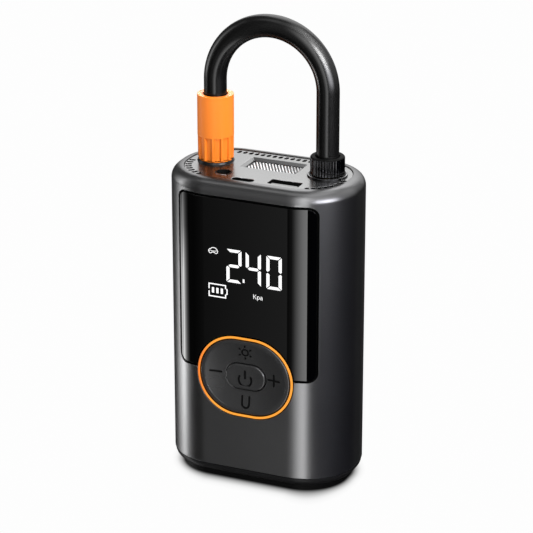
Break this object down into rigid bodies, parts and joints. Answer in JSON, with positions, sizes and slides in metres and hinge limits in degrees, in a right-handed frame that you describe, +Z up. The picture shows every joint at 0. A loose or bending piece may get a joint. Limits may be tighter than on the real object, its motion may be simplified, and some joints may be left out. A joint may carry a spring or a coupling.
{
  "type": "portable tire inflator",
  "caption": "Handheld cordless tire inflator: rounded upright housing with wrap-round display, rocker keypad, top ports, lamp and a filling hose parked as a carrying loop.",
  "frame": {"origin": "centre of the foot's underside, on the surface the inflator stands on", "axes": "+Z up through the housing to the hose's loop; the display and keypad face -Y; +X is the hose outlet's side"},
  "size_m": [0.076, 0.0453, 0.1837],
  "materials": {
    "shell_paint": "metallic satin paint on plastic",
    "dark_plastic": "matte",
    "foot_rubber": "matte",
    "steel": "bright",
    "plate_grey": "satin",
    "smoked_glass": "polished black",
    "ring_orange": "satin, light guide",
    "key_black": "fine matte",
    "silicone": "matte",
    "board_green": "lacquered",
    "lens_clear": "moulded prisms",
    "lamp_white": "reflective white",
    "port_steel": "satin",
    "outlet_metal": "turned, satin",
    "hose_rubber": "satin",
    "chuck_orange": "satin anodised orange",
    "brass": "machined",
    "nut_black": "satin, knurled",
    "cell_wrap": "shrink wrapped",
    "holder_grey": "moulded",
    "nickel": "plated",
    "motor_steel": "plated",
    "magnet": "ferrite",
    "copper_core": "wound armature",
    "cast_alloy": "die cast",
    "bronze": "sintered",
    "acetal": "moulded",
    "seal_rubber": "matte",
    "tube_clear": "translucent",
    "sensor_black": "moulded"
  },
  "bodies": {
    "housing": {"housing_shell": "shell_paint", "base_cap": "dark_plastic", "foot_pad": "foot_rubber", "base_screws": "steel", "top_plate": "plate_grey", "display_window": "smoked_glass", "display_module": "sensor_black", "keypad_ring": "ring_orange", "key_mat": "silicone", "key_switches": "nickel", "key_posts": "holder_grey", "control_board": "board_green", "board_screws": "steel", "port_board": "board_green", "charging_jack": "dark_plastic", "small_port": "port_steel", "large_port": "port_steel", "port_screws": "steel", "lamp_lens": "lens_clear", "lamp_frame": "lamp_white", "lamp_board": "lamp_white", "chuck_dock": "dark_plastic", "air_outlet": "outlet_metal", "battery_tray": "holder_grey", "battery_holder": "holder_grey", "cell_left": "cell_wrap", "cell_right": "cell_wrap", "cell_links": "nickel", "motor_stand": "holder_grey", "motor_can": "motor_steel", "motor_magnets": "magnet", "motor_endcap": "dark_plastic", "motor_screws": "steel", "pump_frame": "cast_alloy", "cylinder_liner": "motor_steel", "cylinder_head": "cast_alloy", "head_screws": "steel", "valve_plate": "nickel", "gear_axle": "steel", "air_tube": "tube_clear", "pressure_sensor": "sensor_black"},
    "hose_set": {"hose": "hose_rubber", "hose_barb": "brass", "valve_pin": "brass", "hose_fitting": "brass", "outlet_seal": "seal_rubber"},
    "chuck": {"chuck_sleeve": "chuck_orange", "chuck_core": "brass", "chuck_seal": "seal_rubber"},
    "nut": {"coupling_nut": "nut_black"},
    "key_carrier": {"key_gimbal": "acetal"},
    "rocker": {"rocker_key": "key_black"},
    "power_key": {"power_button": "key_black"},
    "motor_rotor": {"rotor": "copper_core", "motor_shaft": "steel", "pinion": "steel"},
    "gear": {"drive_gear": "acetal", "gear_bushing": "bronze"},
    "piston": {"piston_rod": "cast_alloy", "piston_cup": "seal_rubber"}
  },
  "joints": [
    {"name": "hose_lift", "type": "slide", "parent": "housing", "child": "hose_set", "axis": [0, 0, 1], "range_m": [0, 0.03]},
    {"name": "chuck_spin", "type": "hinge", "parent": "hose_set", "child": "chuck", "pos_m": [-0.0233, 0.0028, 0.13], "axis": [0, 0, 1], "continuous": true},
    {"name": "nut_spin", "type": "hinge", "parent": "hose_set", "child": "nut", "pos_m": [0.0233, 0.0028, 0.128], "axis": [0, 0, 1], "continuous": true},
    {"name": "rocker_side", "type": "hinge", "parent": "housing", "child": "key_carrier", "pos_m": [0, -0.018, 0.0457], "axis": [0, 0, 1], "range_deg": [-1.2, 1.2], "stiffness_Nm_per_rad": 0.8},
    {"name": "rocker_updown", "type": "hinge", "parent": "key_carrier", "child": "rocker", "pos_m": [0, -0.018, 0.0457], "axis": [1, 0, 0], "range_deg": [-1.4, 1.4], "stiffness_Nm_per_rad": 0.8},
    {"name": "power_press", "type": "slide", "parent": "rocker", "child": "power_key", "axis": [0, 1, 0], "range_m": [0, 0.00035], "stiffness_N_per_m": 1500, "springref_m": -0.0002},
    {"name": "rotor_spin", "type": "hinge", "parent": "housing", "child": "motor_rotor", "pos_m": [0.0216, 0.0028, 0.06], "axis": [0, 0, 1], "continuous": true},
    {"name": "gear_spin", "type": "hinge", "parent": "housing", "child": "gear", "pos_m": [0.006, 0.0028, 0.081], "axis": [0, 0, 1], "continuous": true},
    {"name": "piston_stroke", "type": "slide", "parent": "housing", "child": "piston", "axis": [-1, 0, 0], "range_m": [0, 0.011]}
  ],
  "couplings": [
    {"joint": "gear_spin", "follows": "rotor_spin", "ratio": -0.3}
  ]
}
